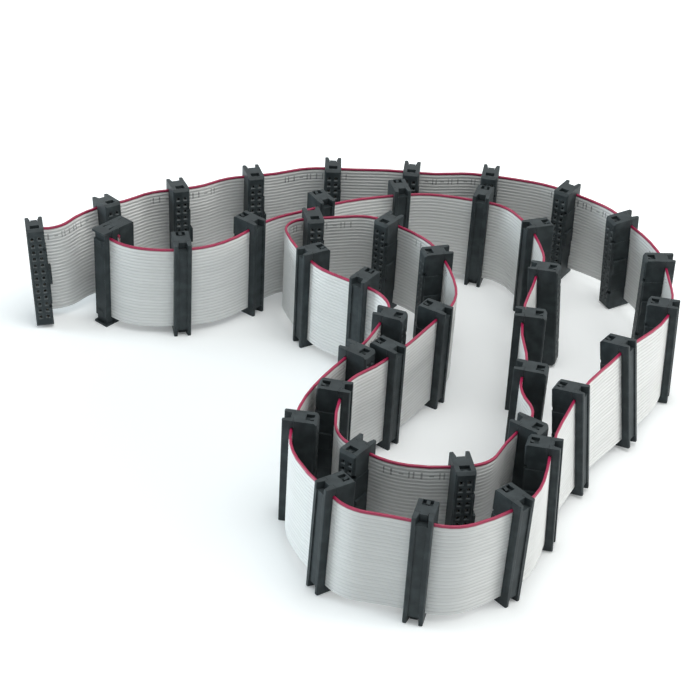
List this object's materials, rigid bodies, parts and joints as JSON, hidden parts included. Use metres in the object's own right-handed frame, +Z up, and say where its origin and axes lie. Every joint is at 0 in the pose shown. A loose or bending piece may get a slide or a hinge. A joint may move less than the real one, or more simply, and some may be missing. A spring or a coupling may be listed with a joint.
{
  "type": "ribbon cable",
  "caption": "Flat ribbon cable standing on edge in a winding path, with keyed press-on sockets spaced along its whole length.",
  "frame": {"origin": "bottom centre of the box around the sockets, on the surface they stand on", "axes": "+Z up along the sockets' length, +X along the row of sockets from the free first end to the far bend, +Y towards the long outer run"},
  "size_m": [0.2293, 0.2198, 0.0393],
  "materials": {
    "ribbon_insulation": "satin grey vinyl with a crimson first wire",
    "black_plastic": "fine moulded, slightly glossy",
    "contact_metal": "tin-plated"
  },
  "bodies": {
    "root": {"ribbon": "ribbon_insulation", "strain_relief": "black_plastic", "housing_01": "black_plastic", "housing_02": "black_plastic", "housing_03": "black_plastic", "housing_04": "black_plastic", "housing_05": "black_plastic", "housing_06": "black_plastic", "housing_07": "black_plastic", "housing_08": "black_plastic", "housing_09": "black_plastic", "housing_10": "black_plastic", "housing_11": "black_plastic", "housing_12": "black_plastic", "housing_13": "black_plastic", "housing_14": "black_plastic", "housing_15": "black_plastic", "housing_16": "black_plastic", "housing_17": "black_plastic", "housing_18": "black_plastic", "housing_19": "black_plastic", "housing_20": "black_plastic", "housing_21": "black_plastic", "housing_22": "black_plastic", "housing_23": "black_plastic", "housing_24": "black_plastic", "housing_25": "black_plastic", "housing_26": "black_plastic", "housing_27": "black_plastic", "housing_28": "black_plastic", "housing_29": "black_plastic", "housing_30": "black_plastic", "housing_31": "black_plastic", "housing_32": "black_plastic", "housing_33": "black_plastic", "housing_34": "black_plastic", "housing_35": "black_plastic", "housing_36": "black_plastic", "housing_37": "black_plastic", "housing_38": "black_plastic", "housing_39": "black_plastic", "housing_40": "black_plastic", "housing_41": "black_plastic", "caps_01_05": "black_plastic", "caps_06_10": "black_plastic", "caps_11_15": "black_plastic", "caps_16_20": "black_plastic", "caps_21_25": "black_plastic", "caps_26_30": "black_plastic", "caps_31_35": "black_plastic", "caps_36_41": "black_plastic", "contacts_01_05": "contact_metal", "contacts_06_10": "contact_metal", "contacts_11_15": "contact_metal", "contacts_16_20": "contact_metal", "contacts_21_25": "contact_metal", "contacts_26_30": "contact_metal", "contacts_31_35": "contact_metal", "contacts_36_41": "contact_metal"}
  },
  "joints": []
}
